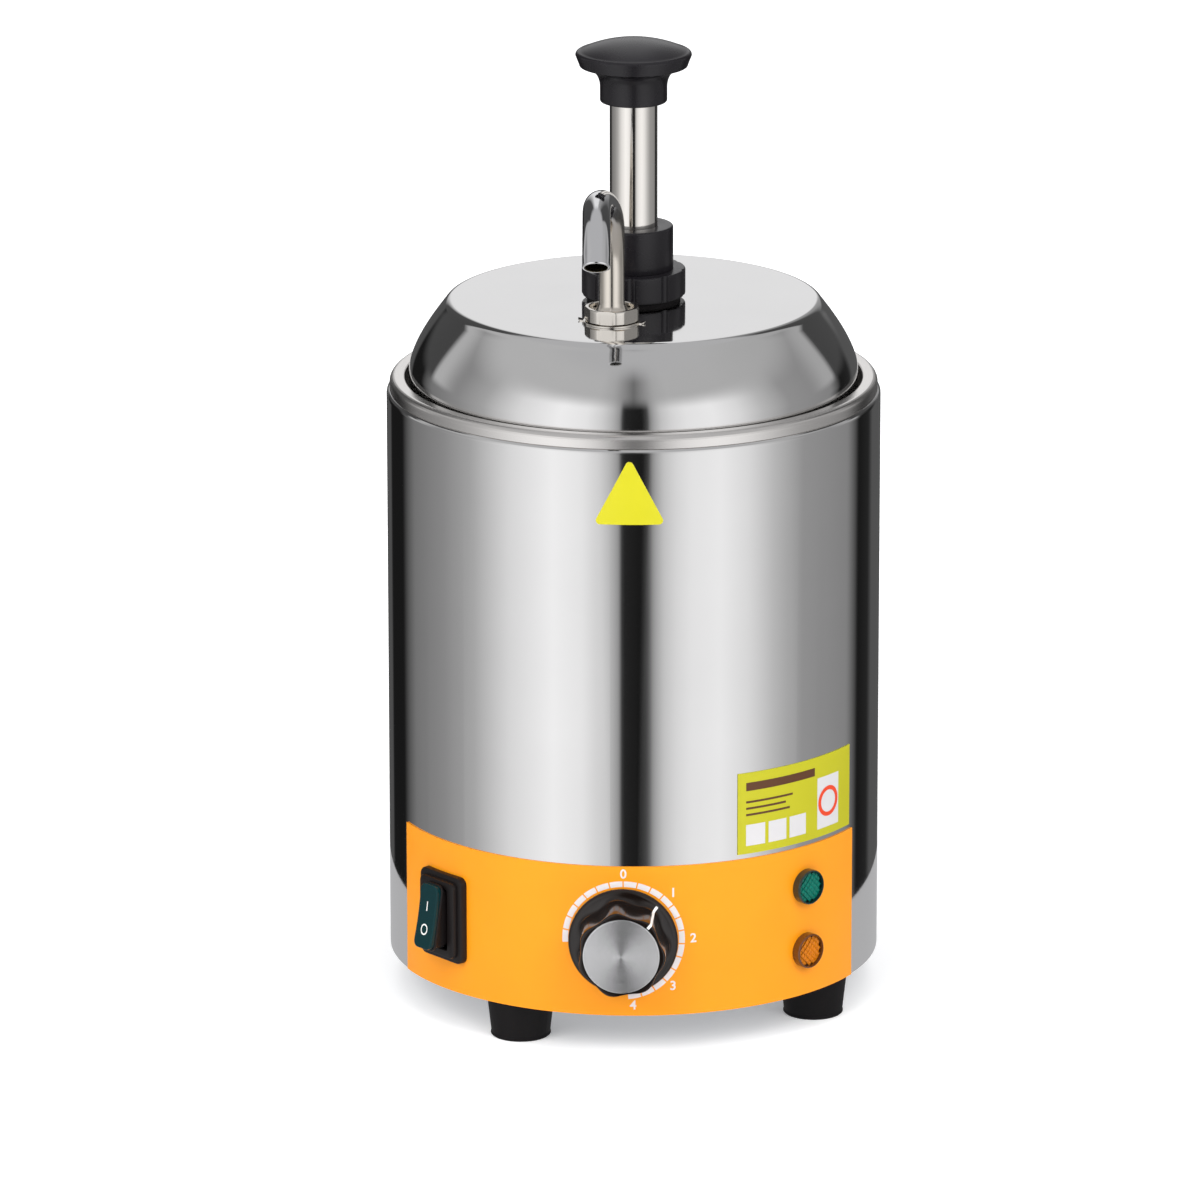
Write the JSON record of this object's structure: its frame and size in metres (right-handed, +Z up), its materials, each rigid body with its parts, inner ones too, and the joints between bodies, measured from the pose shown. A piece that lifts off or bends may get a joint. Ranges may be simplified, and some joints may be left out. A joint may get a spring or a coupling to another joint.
{
  "type": "hot fudge topping warmer",
  "caption": "Round heated water-bath warmer with a lift-out jar, domed lid and plunger pump with spout, dial and rocker switch on a curved control panel.",
  "frame": {"origin": "on the floor under the axis of the casing", "axes": "+Z up along the axis of the casing and the pump, -Y towards the control panel and the spout, +X to the right of someone who faces the panel"},
  "size_m": [0.195, 0.2378, 0.3849],
  "materials": {
    "polished_steel": "mirror polished stainless steel",
    "brushed_steel": "brushed stainless steel",
    "machined_steel": "turned stainless steel",
    "spring_steel": "drawn spring wire",
    "orange_film": "printed satin film",
    "yellow_sticker": "printed gloss sticker",
    "label_paper": "printed gloss sticker",
    "zinc_plate": "zinc plated sheet",
    "zinc_fastener": "zinc plated",
    "black_rubber": "moulded rubber",
    "black_plastic": "moulded, satin",
    "satin_black": "moulded, satin gloss",
    "green_lens": "tinted translucent",
    "green_lamp": "tinted translucent",
    "amber_lamp": "tinted translucent",
    "ivory_plastic": "moulded",
    "white_plastic": "moulded, food grade",
    "spun_aluminium": "spun, fine rings",
    "white_mark": "white paint",
    "cast_aluminium": "cast",
    "element_sheath": "dark oxide",
    "copper": "drawn copper",
    "brass": "stamped brass"
  },
  "bodies": {
    "warmer": {"casing": "polished_steel", "well_ring": "brushed_steel", "water_well": "brushed_steel", "well_floor": "brushed_steel", "control_panel": "orange_film", "triangle_sticker": "yellow_sticker", "label_sticker": "label_paper", "base_plate": "zinc_plate", "base_brackets": "zinc_plate", "base_screws": "zinc_fastener", "feet": "black_rubber", "foot_screws": "zinc_fastener", "foot_nuts": "zinc_fastener", "switch_frame": "black_plastic", "switch_body": "black_plastic", "switch_blades": "brass", "thermostat_body": "zinc_plate", "thermostat_nut": "zinc_fastener", "sensing_bulb": "copper", "bulb_clip": "zinc_plate", "power_lamp_lens": "green_lamp", "heat_lamp_lens": "amber_lamp", "lamp_bodies": "ivory_plastic", "lamp_nuts": "black_plastic", "heater_plate": "cast_aluminium", "heating_element": "element_sheath", "heater_clamp": "zinc_plate", "heater_nuts": "zinc_fastener", "thermal_cutoff": "black_plastic", "terminal_block": "ivory_plastic", "earth_screw": "brass", "cable_gland": "black_plastic", "gland_nut": "black_plastic"},
    "dial": {"thermostat_shaft": "machined_steel", "dial_knob": "black_plastic", "dial_cap": "spun_aluminium", "dial_pointer": "white_mark"},
    "rocker": {"switch_rocker": "black_plastic", "rocker_lens": "green_lens"},
    "jar": {"jar": "brushed_steel"},
    "lid": {"lid": "polished_steel", "pump_gasket": "black_rubber", "lock_collar": "satin_black", "stem_bush": "satin_black", "pump_cylinder": "brushed_steel", "valve_body": "white_plastic", "discharge_tube": "brushed_steel", "spout_washer": "machined_steel", "spout_nut": "machined_steel", "spout": "polished_steel", "return_spring": "spring_steel"},
    "inlet_ball": {"inlet_ball": "machined_steel"},
    "outlet_ball": {"outlet_ball": "machined_steel"},
    "plunger": {"plunger_knob": "satin_black", "plunger_tube": "polished_steel", "stop_collar": "machined_steel", "piston": "white_plastic", "piston_seal": "black_rubber", "piston_screw": "machined_steel"}
  },
  "joints": [
    {"name": "dial_turn", "type": "hinge", "parent": "warmer", "child": "dial", "pos_m": [0, -0.09805, 0.047], "axis": [0, 1, 0], "range_deg": [-42, 138]},
    {"name": "rocker_press", "type": "hinge", "parent": "warmer", "child": "rocker", "pos_m": [-0.07361, -0.06864, 0.0465], "axis": [0.682, -0.7314, 0], "range_deg": [0, 20]},
    {"name": "jar_lift", "type": "slide", "parent": "warmer", "child": "jar", "axis": [0, 0, 1], "range_m": [0, 0.16]},
    {"name": "lid_lift", "type": "slide", "parent": "jar", "child": "lid", "axis": [0, 0, 1], "range_m": [0, 0.14]},
    {"name": "plunger_press", "type": "slide", "parent": "lid", "child": "plunger", "axis": [0, 0, -1], "range_m": [0, 0.045], "stiffness_N_per_m": 150, "springref_m": -0.03, "deforming": ["return_spring"]},
    {"name": "inlet_ball_lift", "type": "slide", "parent": "lid", "child": "inlet_ball", "axis": [0, 0, 1], "range_m": [0, 0.0025]},
    {"name": "outlet_ball_lift", "type": "slide", "parent": "lid", "child": "outlet_ball", "axis": [0, 0, 1], "range_m": [0, 0.002]}
  ]
}
